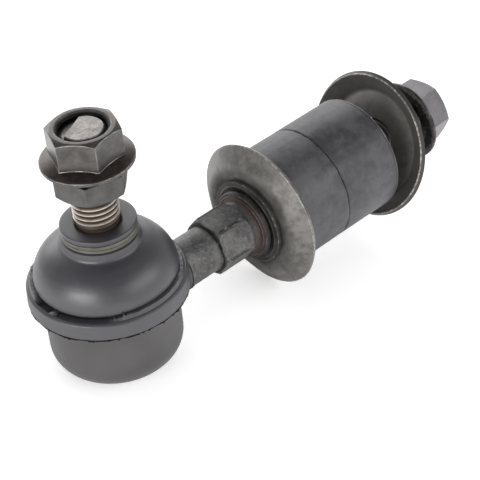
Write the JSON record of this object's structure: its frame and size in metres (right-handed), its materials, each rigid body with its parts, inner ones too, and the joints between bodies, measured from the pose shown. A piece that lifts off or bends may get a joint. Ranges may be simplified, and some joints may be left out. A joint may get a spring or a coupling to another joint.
{
  "type": "stabilizer link",
  "caption": "Stabilizer link: a booted ball joint on a short forged shank, rubber bushes between dished washers on its rod, and flange nuts on the stud and the rod.",
  "frame": {"origin": "centre of the ball, where the stud's axis meets the rod's axis", "axes": "+Z along the ball stud towards its nut, +X along the rod towards its end nut"},
  "size_m": [0.1196, 0.0356, 0.0653],
  "materials": {
    "housing_steel": "forged, dark phosphate coat, satin",
    "shank_steel": "black forging scale, worn at the corners",
    "seat_plastic": "moulded",
    "bright_steel": "plated thread, bright tip",
    "boot_rubber": "satin, dusted",
    "wire_steel": "dark wire",
    "ring_steel": "grey olive flat wire",
    "nut_steel": "grey plated",
    "washer_steel": "warm grey phosphate",
    "bush_rubber": "mottled matt"
  },
  "bodies": {
    "link": {"socket_housing": "housing_steel", "link_shank": "shank_steel", "closing_ring": "bright_steel", "dust_boot": "boot_rubber", "boot_wire_ring": "wire_steel", "inner_washer": "washer_steel", "inner_bush": "bush_rubber", "outer_bush": "bush_rubber"},
    "seat": {"ball_seat": "seat_plastic"},
    "neck": {"boot_neck_ring": "ring_steel"},
    "stud": {"ball_stud": "bright_steel"},
    "flange_nut": {"flange_nut": "nut_steel"},
    "plain_nut": {"plain_nut": "nut_steel"},
    "end_nut": {"end_nut": "nut_steel"},
    "outer_washer": {"outer_washer": "washer_steel"}
  },
  "joints": [
    {"name": "swing_direction", "type": "hinge", "parent": "link", "child": "seat", "pos_m": [0, 0, 0], "axis": [0, 0, 1], "continuous": true},
    {"name": "stud_tilt", "type": "hinge", "parent": "seat", "child": "neck", "pos_m": [0, 0, 0], "axis": [0, 1, 0], "range_deg": [-25, 25], "deforming": ["dust_boot"]},
    {"name": "stud_spin", "type": "hinge", "parent": "neck", "child": "stud", "pos_m": [0, 0, 0], "axis": [0, 0, 1], "continuous": true},
    {"name": "flange_nut_travel", "type": "slide", "parent": "stud", "child": "flange_nut", "axis": [0, 0, 1], "range_m": [0, 0.012]},
    {"name": "plain_nut_travel", "type": "slide", "parent": "stud", "child": "plain_nut", "axis": [0, 0, 1], "range_m": [-0.0078, 0.0012]},
    {"name": "end_nut_travel", "type": "slide", "parent": "link", "child": "end_nut", "axis": [1, 0, 0], "range_m": [-0.0055, 0.012]},
    {"name": "washer_rock", "type": "hinge", "parent": "link", "child": "outer_washer", "pos_m": [0.0834, 0, -0.00058], "axis": [0, 1, 0], "range_deg": [-31.8, 0]}
  ]
}
